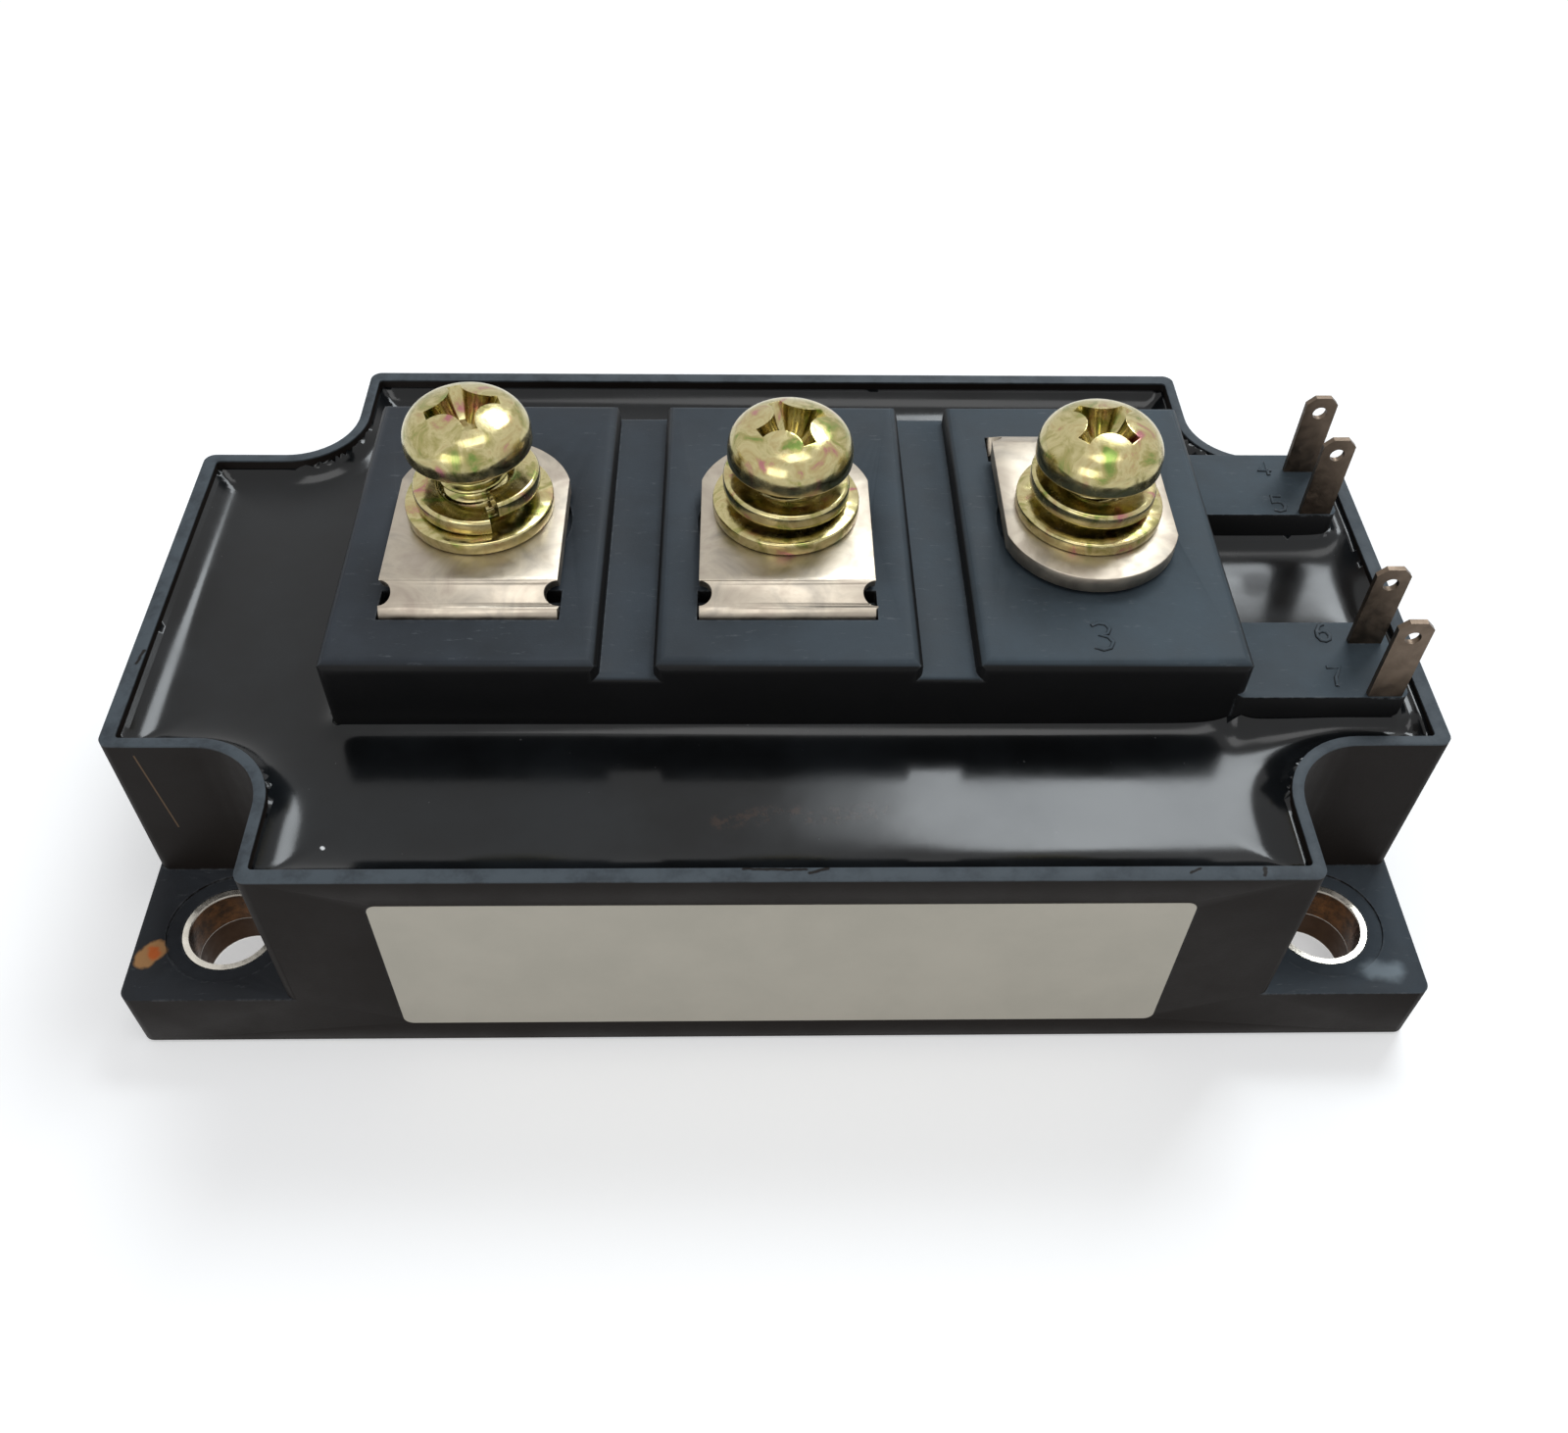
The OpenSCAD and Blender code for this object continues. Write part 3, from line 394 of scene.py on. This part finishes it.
def floor_look():
    """A plain pale floor that the camera and reflections see as near white, with its shadow."""
    look = Look("studio_floor")
    look.set(Base_Color=(0.80, 0.80, 0.80), Roughness=0.9, Specular_IOR_Level=0.0)
    rays = look.add("ShaderNodeLightPath").outputs
    seen = look.math("MAXIMUM", rays["Is Camera Ray"], rays["Is Glossy Ray"])
    seen = look.math("MAXIMUM", seen, rays["Is Transmission Ray"])
    glow = look.math("MULTIPLY", seen, FLOOR_GLOW)
    look.set(Emission_Color=(1, 1, 1), Emission_Strength=glow)
    look.data.cycles.emission_sampling = "NONE"
    return look.data


LOOKS = {
    "case": case_plastic(),
    "block": block_plastic(),
    "resin": potting_resin(),
    "plate": metal("terminal_nickel", [(0.34, 0.29, 0.24), (0.43, 0.38, 0.31), (0.30, 0.27, 0.23)],
                   (0.34, 0.46), patch=4 * MM).data,
    "gold": metal("yellow_chromate", [(0.17, 0.24, 0.06), (0.34, 0.30, 0.12), (0.50, 0.44, 0.23),
                                      (0.42, 0.34, 0.16), (0.40, 0.17, 0.17)],
                  (0.14, 0.28), patch=2.4 * MM).data,
    "tab": metal("tarnished_tab", [(0.10, 0.075, 0.055), (0.16, 0.12, 0.09)], (0.32, 0.5)).data,
    "sleeve": sleeve_metal(),
    "base": base_nickel(),
    "copper": metal("bare_copper", [(0.72, 0.38, 0.24), (0.80, 0.47, 0.32)], (0.3, 0.45)).data,
    "steel": metal("nut_steel", [(0.62, 0.62, 0.60), (0.7, 0.7, 0.68)], (0.3, 0.4)).data,
    "label": label_film(),
}
NODE_LOOKS = {
    "case": "case", "terminal_block": "block", "base_plate": "base", "label": "label",
    "terminal_nuts": "steel", "flat_washers": "gold", "control_leads": "copper",
    "substrate_solder": "steel", "igbt_chips": "steel", "diode_chips": "steel",
    "bond_wires": "steel", "gate_jumpers": "steel", "silicone_gel": "label",
    "ceramic_1": "label", "ceramic_2": "label", "backing_foil_1": "copper",
    "backing_foil_2": "copper", "copper_tracks_1": "copper", "copper_tracks_2": "copper",
}
NODE_LOOKS.update({f"mount_sleeve_{i}": "sleeve" for i in range(1, 5)})
NODE_LOOKS.update({f"main_terminal_{i}": "plate" for i in range(1, 4)})
NODE_LOOKS.update({f"control_tab_{i}": "tab" for i in range(1, 5)})


# ---- Meshes ----

def mesh_piece(name, points, faces):
    data = bpy.data.meshes.new(name)
    data.from_pydata([tuple(p) for p in points], [], faces)
    data.validate()
    data.shade_smooth()
    piece = bpy.data.objects.new(name, data)
    bpy.context.scene.collection.objects.link(piece)
    return piece


def finish_piece(piece, look, slot, *replaced):
    piece.data.materials.clear()
    piece.data.materials.append(LOOKS[look])
    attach(piece, BODY)
    if replaced:
        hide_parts(*replaced)
    return piece


def apply_modifiers(piece):
    """Bakes the piece's modifiers into its mesh."""
    evaluated = piece.evaluated_get(bpy.context.evaluated_depsgraph_get())
    data = bpy.data.meshes.new_from_object(evaluated)
    piece.modifiers.clear()
    piece.data = data
    return piece


def boolean(piece, other, operation):
    step = piece.modifiers.new("cut", "BOOLEAN")
    step.operation = operation
    step.solver = "EXACT"
    step.object = other
    bpy.context.view_layer.update()
    apply_modifiers(piece)
    bpy.data.objects.remove(other)
    return piece


def soften(piece, width, angle=35):
    """Small rounded edges that catch the light."""
    weld = piece.modifiers.new("weld", "WELD")
    weld.merge_threshold = 0.002 * MM
    bevel = piece.modifiers.new("edges", "BEVEL")
    bevel.width = width
    bevel.segments = 2
    bevel.limit_method = "ANGLE"
    bevel.angle_limit = math.radians(angle)
    bevel.harden_normals = True
    bevel.use_clamp_overlap = True
    piece.data.shade_smooth()
    return piece


def tube_mesh(rings):
    """Points and faces of a skin over rings of equal length, capped at both ends."""
    count = len(rings[0])
    points = [p for ring in rings for p in ring]
    faces = [(i * count + k, i * count + (k + 1) % count, (i + 1) * count + (k + 1) % count,
              (i + 1) * count + k) for i in range(len(rings) - 1) for k in range(count)]
    faces.append(tuple(reversed(range(count))))
    faces.append(tuple(range(len(points) - count, len(points))))
    return points, faces


# ---- Resin ----

def level_of(node):
    """Height of the topmost of a node's large flat faces that look up."""
    areas = {}
    for face in NODES[node].data.polygons:
        if face.normal.z > 0.999:
            height = round(face.center.z, 5)
            areas[height] = areas.get(height, 0) + face.area
    largest = max(areas.values())
    return max(height for height, area in areas.items() if area > largest / 4)


def slice_of(node, height):
    """A bmesh with the outline of a node at that height, as edges."""
    cut = bmesh.new()
    cut.from_mesh(NODES[node].data)
    bmesh.ops.remove_doubles(cut, verts=cut.verts, dist=0.001 * MM)
    everything = cut.verts[:] + cut.edges[:] + cut.faces[:]
    found = bmesh.ops.bisect_plane(cut, geom=everything, plane_co=(0, 0, height), plane_no=(0, 0, 1),
                                   clear_inner=True, clear_outer=True)
    kept = {e for e in found["geom_cut"] if isinstance(e, bmesh.types.BMEdge)}
    bmesh.ops.delete(cut, geom=[e for e in cut.edges if e not in kept], context="EDGES")
    return cut


def distance_to(points, segments):
    """Distance of each 2-D point to the nearest of the segments."""
    best = np.full(len(points), np.inf)
    for start, end in segments:
        along = end - start
        share = ((points - start) @ along) / max(along @ along, 1e-18)
        nearest = start + np.clip(share, 0, 1)[:, None] * along
        best = np.minimum(best, np.hypot(*(points - nearest).T))
    return best


def resin():
    """The cast resin, whose surface climbs the walls, the block and the pads."""
    low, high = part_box("epoxy_resin")
    level = level_of("epoxy_resin")
    outline = slice_of("epoxy_resin", level - 0.5 * MM)
    block_low, block_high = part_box("terminal_block")
    segments = [np.array([v.co.xy[:] for v in e.verts]) for e in outline.edges]
    margin = 0.1 * MM

    def on_block(segment):
        middle = segment.mean(0)
        return (block_low.x - margin < middle[0] < block_high.x + margin
                and block_low.y - margin < middle[1] < block_high.y + margin)

    block_end = max(v.co.x for v in NODES["terminal_block"].data.vertices if v.co.z > level + 5 * MM)
    block_edges = [s for s in segments if on_block(s) and s[:, 0].max() < block_end + margin]
    pad_edges = [s for s in segments if on_block(s) and s[:, 0].max() >= block_end + margin]
    wall_edges = [s for s in segments if not on_block(s)]

    # The outline becomes a prism that trims a slab with a shaped top
    bmesh.ops.triangle_fill(outline, use_beauty=True, edges=outline.edges)
    sheet = outline.faces[:]
    moved = bmesh.ops.extrude_face_region(outline, geom=sheet)
    top = [v for v in moved["geom"] if isinstance(v, bmesh.types.BMVert)]
    bmesh.ops.translate(outline, verts=top, vec=(0, 0, high.z - level + 5 * MM))
    raised = set(top)
    bmesh.ops.translate(outline, verts=[v for v in outline.verts if v not in raised],
                        vec=(0, 0, low.z - level - 2 * MM))
    bmesh.ops.recalc_face_normals(outline, faces=outline.faces)
    data = bpy.data.meshes.new("trim")
    outline.to_mesh(data)
    outline.free()
    trim = bpy.data.objects.new("trim", data)
    bpy.context.scene.collection.objects.link(trim)

    margin = 1 * MM
    across = np.arange(low.x - margin, high.x + margin + RESIN_GRID, RESIN_GRID)
    deep = np.arange(low.y - margin, high.y + margin + RESIN_GRID, RESIN_GRID)
    grid_x, grid_y = np.meshgrid(across, deep, indexing="ij")
    flat = np.column_stack([grid_x.ravel(), grid_y.ravel()])
    rise = (WALL_CLIMB * np.exp(-distance_to(flat, wall_edges) / WALL_FADE)
            + BLOCK_CLIMB * np.exp(-distance_to(flat, block_edges) / BLOCK_FADE)
            + PAD_CLIMB * np.exp(-distance_to(flat, pad_edges) / PAD_FADE))
    rise = np.minimum(rise, MOST_CLIMB)
    swell = 0.05 * MM * np.sin(flat[:, 0] / (9 * MM) + 1.3) * np.cos(flat[:, 1] / (7 * MM))
    heights = level + rise + swell
    nx, ny = len(across), len(deep)
    points = [(x, y, z) for (x, y), z in zip(flat, heights)]
    faces = [(i * ny + j, (i + 1) * ny + j, (i + 1) * ny + j + 1, i * ny + j + 1)
             for i in range(nx - 1) for j in range(ny - 1)]
    rim = ([i * ny for i in range(nx)] + [(nx - 1) * ny + j for j in range(1, ny)]
           + [i * ny + ny - 1 for i in range(nx - 2, -1, -1)] + list(range(ny - 2, 0, -1)))
    first = len(points)
    points += [(points[i][0], points[i][1], low.z) for i in rim]
    count = len(rim)
    faces += [(rim[k], first + k, first + (k + 1) % count, rim[(k + 1) % count]) for k in range(count)]
    faces.append(tuple(first + k for k in reversed(range(count))))
    slab = mesh_piece("epoxy_resin_cast", points, faces)
    boolean(slab, trim, "INTERSECT")
    slab.data.set_sharp_from_angle(angle=math.radians(32))
    return finish_piece(slab, "resin", "potting_resin", "epoxy_resin")


# ---- Screws and washers ----

def arc(centre, radius, start, end, steps):
    """Points of an arc in the plane, from start to end in degrees."""
    return [(centre[0] + radius * math.cos(math.radians(start + (end - start) * i / steps)),
             centre[1] + radius * math.sin(math.radians(start + (end - start) * i / steps)))
            for i in range(steps + 1)]


def head_outline():
    """Half section of the pan head, from the shank up to the crown."""
    shoulder_x = HEAD_R - SHOULDER_R
    reach = CROWN_R - SHOULDER_R
    crown_z = HEAD_H - CROWN_R
    shoulder_z = crown_z + math.sqrt(reach ** 2 - shoulder_x ** 2)
    meet = math.degrees(math.atan2(shoulder_z - crown_z, shoulder_x))
    lip = 0.25 * MM
    under = [(0.4 * THREAD_R, 0.0), (HEAD_R - 2 * lip, 0.0)]
    under += arc((HEAD_R - lip, lip), lip, -90, 0, 4)
    side = arc((shoulder_x, shoulder_z), SHOULDER_R, 0, meet, 10)
    crown = arc((0, crown_z), CROWN_R, meet, 89.4, 14)
    return under + side + crown[1:]


def lathe(outline, segments=96):
    rings = []
    for radius, height in outline:
        rings.append([(radius * math.cos(a), radius * math.sin(a), height)
                      for a in (2 * math.pi * k / segments for k in range(segments))])
    return tube_mesh(rings)


def recess_outline(scale):
    """Star of four arms between four round lobes."""
    half, lobe = RECESS_LENGTH / 2, RECESS_LOBE
    radius = math.hypot(lobe - RECESS_WIDTH / 2, half - lobe)
    reach = math.degrees(math.atan2(half - lobe, RECESS_WIDTH / 2 - lobe))
    points = []
    for quarter in range(4):
        turn = Matrix.Rotation(math.radians(90 * quarter), 2)
        for x, y in arc((lobe, lobe), radius, 450 - reach, reach, 14):
            points.append(turn @ Vector((x, y)) * scale)
    return points


def recess_cutter():
    """The driver recess: straight at the mouth, then tapered to a small floor."""
    steps = [(HEAD_H + 1 * MM, 1.0), (HEAD_H - 0.5 * MM, 0.97), (HEAD_H - 1.7 * MM, 0.74),
             (HEAD_H - RECESS_DEPTH, 0.42)]
    rings = [[(p.x, p.y, z) for p in recess_outline(scale)] for z, scale in reversed(steps)]
    return mesh_piece("recess", *tube_mesh(rings))


def thread_mesh():
    """Shank with a true helical thread, closed at both ends."""
    around, per_turn = 40, 10
    rows = int((SCREW_LENGTH - 1 * MM) / THREAD_PITCH * per_turn)
    rings = []
    for row in range(rows + 1):
        z = -SCREW_LENGTH + 0.6 * MM + row * THREAD_PITCH / per_turn
        fade = min(1, row / per_turn, (rows - row) / per_turn)
        ring = []
        for k in range(around):
            a = 2 * math.pi * k / around
            phase = (z / THREAD_PITCH - k / around) % 1
            height = 1 - abs(2 * phase - 1)
            r = THREAD_R - THREAD_DEPTH * (1 - min(1, max(0, 1.5 * height - 0.25)) * fade)
            ring.append((r * math.cos(a), r * math.sin(a), z))
        rings.append(ring)
    tip = THREAD_R - THREAD_DEPTH - 0.5 * MM
    rings.insert(0, [(tip * x / math.hypot(x, y), tip * y / math.hypot(x, y), -SCREW_LENGTH)
                     for x, y, _ in rings[0]])
    top = THREAD_R - THREAD_DEPTH
    rings.append([(top * x / math.hypot(x, y), top * y / math.hypot(x, y), 0.3 * MM)
                  for x, y, _ in rings[-1]])
    return tube_mesh(rings)


def crown_tops(centres):
    """Height that each CAD head's crown would reach without its recess."""
    lobe_r = math.hypot(RECESS_LOBE - RECESS_WIDTH / 2, RECESS_LENGTH / 2 - RECESS_LOBE)
    nearest = math.hypot(RECESS_LOBE, RECESS_LOBE) - lobe_r
    lost = CROWN_R - math.sqrt(CROWN_R ** 2 - nearest ** 2)
    corners = NODES["terminal_screws"].data.vertices
    return [lost + max(v.co.z for v in corners if (v.co.xy - centre).length < 1.6 * HEAD_R)
            for centre in centres]


def terminal_centres():
    washers_low, washers_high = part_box("flat_washers")
    row_y = (washers_low.y + washers_high.y) / 2
    centres = []
    for i in range(1, 4):
        low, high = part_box(f"main_terminal_{i}")
        centres.append(Vector(((low.x + high.x) / 2, row_y)))
    return centres


def screws():
    centres = terminal_centres()
    nuts_low, nuts_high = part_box("terminal_nuts")
    pivot = (nuts_low.z + nuts_high.z) / 2
    for i, (centre, top) in enumerate(zip(centres, crown_tops(centres))):
        head = mesh_piece(f"terminal_screw_{i + 1}", *lathe(head_outline()))
        boolean(head, recess_cutter(), "DIFFERENCE")
        edge = head.modifiers.new("edges", "BEVEL")
        edge.width = 0.12 * MM
        edge.segments = 3
        edge.limit_method = "ANGLE"
        edge.angle_limit = math.radians(40)
        apply_modifiers(head)
        shank = mesh_piece("shank", *thread_mesh())
        joined = bmesh.new()
        joined.from_mesh(head.data)
        joined.from_mesh(shank.data)
        joined.to_mesh(head.data)
        joined.free()
        bpy.data.objects.remove(shank)
        lean = Matrix.Rotation(-math.radians(SCREW_LEANS[i]), 4, "Y")
        turn = Matrix.Rotation(math.radians(RECESS_TURNS[i]), 4, "Z")
        at_pivot = Matrix.Translation((centre.x, centre.y, pivot))
        lift = Matrix.Translation((0, 0, top - HEAD_H - pivot))
        head.data.transform(at_pivot @ lean @ lift @ turn)
        head.data.shade_smooth()
        head.data.set_sharp_from_angle(angle=math.radians(50))
        finish_piece(head, "gold", "yellow_zinc", "terminal_screws")


def spring_washers():
    low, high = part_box("spring_washers")
    corner = 0.35 * MM
    middle_r = (SPRING_INNER_R + SPRING_OUTER_R) / 2
    section = []
    for cx, cz, start in ((SPRING_OUTER_R, 0, -90), (SPRING_OUTER_R, SPRING_T, 0),
                          (SPRING_INNER_R, SPRING_T, 90), (SPRING_INNER_R, 0, 180)):
        mid = (cx - math.copysign(corner, cx - middle_r), cz + (corner if cz == 0 else -corner))
        section += arc(mid, corner, start, start + 90, 4)
    steps = 120
    for i, centre in enumerate(terminal_centres()):
        rings = []
        for k in range(steps + 1):
            a = math.radians(SPLIT_TURNS[i] - SPLIT_GAP / 2 - k * (360 - SPLIT_GAP) / steps)
            lift = low.z + SPRING_RISE * k / steps
            rings.append([(centre.x + r * math.cos(a), centre.y + r * math.sin(a), lift + z)
                          for r, z in section])
        washer = mesh_piece(f"spring_washer_{i + 1}", *tube_mesh(rings))
        washer.data.set_sharp_from_angle(angle=math.radians(50))
        finish_piece(washer, "gold", "yellow_zinc", "spring_washers")


# ---- Moulded numbers ----

def numbers():
    """Raised plain numbers beside the right main terminal and the control tabs."""
    middle_u, middle_v = NUMBER_MIDDLE
    block_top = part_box("terminal_block")[1].z
    corners = NODES["terminal_block"].data.vertices
    block_end = max(v.co.x for v in corners if v.co.z > block_top - 1.5 * MM)
    pad_top = max(v.co.z for v in corners if v.co.x > block_end + 1 * MM)
    for digit, (x, y), height in NUMBERS:
        surface = block_top if x * MM < block_end else pad_top
        stroke = bpy.data.curves.new(f"number_{digit}", "CURVE")
        stroke.dimensions = "3D"
        stroke.bevel_depth = NUMBER_STROKE
        stroke.bevel_resolution = 3
        stroke.use_fill_caps = True
        line = NUMBER_SHAPES[digit]
        spline = stroke.splines.new("POLY")
        spline.points.add(len(line) - 1)
        for point, (u, v) in zip(spline.points, line):
            point.co = ((u - middle_u) * height * MM, (v - middle_v) * height * MM, 0, 1)
        drawn = bpy.data.objects.new("stroke", stroke)
        bpy.context.scene.collection.objects.link(drawn)
        drawn.location = (x * MM, y * MM, surface + NUMBER_RISE - NUMBER_STROKE)
        bpy.context.view_layer.update()
        evaluated = drawn.evaluated_get(bpy.context.evaluated_depsgraph_get())
        data = bpy.data.meshes.new_from_object(evaluated)
        data.transform(drawn.matrix_world)
        bpy.data.objects.remove(drawn)
        data.shade_smooth()
        piece = bpy.data.objects.new(f"number_{digit}", data)
        bpy.context.scene.collection.objects.link(piece)
        finish_piece(piece, "block", "block_plastic")


# ---- CAD nodes ----

def dress_nodes():
    for name, look in NODE_LOOKS.items():
        piece = NODES[name]
        piece.data.materials.clear()
        piece.data.materials.append(LOOKS[look])
    soften(NODES["case"], 0.18 * MM)
    soften(NODES["terminal_block"], 0.2 * MM)
    for i in range(1, 4):
        soften(NODES[f"main_terminal_{i}"], 0.15 * MM)
    soften(NODES["flat_washers"], 0.15 * MM)


# ---- Studio ----

def softbox(name, place, target, size, power, colour=(1, 1, 1)):
    light = bpy.data.lights.new(name, "AREA")
    light.shape = "RECTANGLE"
    light.size, light.size_y = size
    light.energy = power
    light.color = colour
    lamp = bpy.data.objects.new(name, light)
    lamp.location = place
    lamp.rotation_euler = (Vector(target) - Vector(place)).to_track_quat("-Z", "Y").to_euler()
    lamp.visible_camera = False
    bpy.context.scene.collection.objects.link(lamp)
    return lamp


def studio():
    world = bpy.data.worlds.new("studio")
    bpy.context.scene.world = world
    world.use_nodes = True
    tree = world.node_tree
    tree.nodes.clear()
    rays = tree.nodes.new("ShaderNodeLightPath").outputs
    output = tree.nodes.new("ShaderNodeOutputWorld")
    shown = tree.nodes.new("ShaderNodeBackground")
    shown.inputs["Color"].default_value = (1, 1, 1, 1)
    shown.inputs["Strength"].default_value = 1.0
    fill = tree.nodes.new("ShaderNodeBackground")
    fill.inputs["Color"].default_value = (0.93, 0.96, 1, 1)
    fill.inputs["Strength"].default_value = 0.35
    either = rays["Is Camera Ray"]
    for ray in ("Is Glossy Ray", "Is Transmission Ray"):
        larger = tree.nodes.new("ShaderNodeMath")
        larger.operation = "MAXIMUM"
        tree.links.new(either, larger.inputs[0])
        tree.links.new(rays[ray], larger.inputs[1])
        either = larger.outputs[0]
    mix = tree.nodes.new("ShaderNodeMixShader")
    tree.links.new(either, mix.inputs[0])
    tree.links.new(fill.outputs[0], mix.inputs[1])
    tree.links.new(shown.outputs[0], mix.inputs[2])
    tree.links.new(mix.outputs[0], output.inputs["Surface"])

    bpy.ops.mesh.primitive_plane_add(size=6, location=(0, 0, -0.05 * MM))
    floor = bpy.context.object
    floor.name = "studio_floor"
    floor.data.materials.append(floor_look())

    softbox("window", (0.255, 0.46, 0.67), (0, 0, 0.02), (0.36, 0.30), 3.6, (0.9, 0.96, 1))
    softbox("ceiling", (0.1, -0.16, 0.9), (0, 0, 0.02), (0.5, 0.36), 1.6)
    softbox("front", (-0.35, -0.75, 0.35), (0, 0, 0.01), (0.5, 0.4), 1.6)


def camera():
    forward = Vector((math.sin(CAMERA_YAW) * math.cos(CAMERA_PITCH),
                      math.cos(CAMERA_YAW) * math.cos(CAMERA_PITCH), -math.sin(CAMERA_PITCH)))
    level = Vector((math.cos(CAMERA_YAW), -math.sin(CAMERA_YAW), 0))
    steep = level.cross(forward)
    right = level * math.cos(CAMERA_ROLL) + steep * math.sin(CAMERA_ROLL)
    up = steep * math.cos(CAMERA_ROLL) - level * math.sin(CAMERA_ROLL)
    data = bpy.data.cameras.new("camera")
    data.lens = CAMERA_LENS
    data.sensor_width = SENSOR_WIDTH
    data.clip_start = 0.005
    eye = bpy.data.objects.new("camera", data)
    turned = Matrix((right, up, -forward)).transposed().to_4x4()
    eye.matrix_world = Matrix.Translation(CAMERA_PLACE) @ turned
    bpy.context.scene.collection.objects.link(eye)
    bpy.context.scene.camera = eye


camera()
studio()
dress_nodes()
resin()
screws()
spring_washers()
numbers()
bpy.context.scene.view_settings.view_transform = "Standard"
bpy.context.view_layer.update()
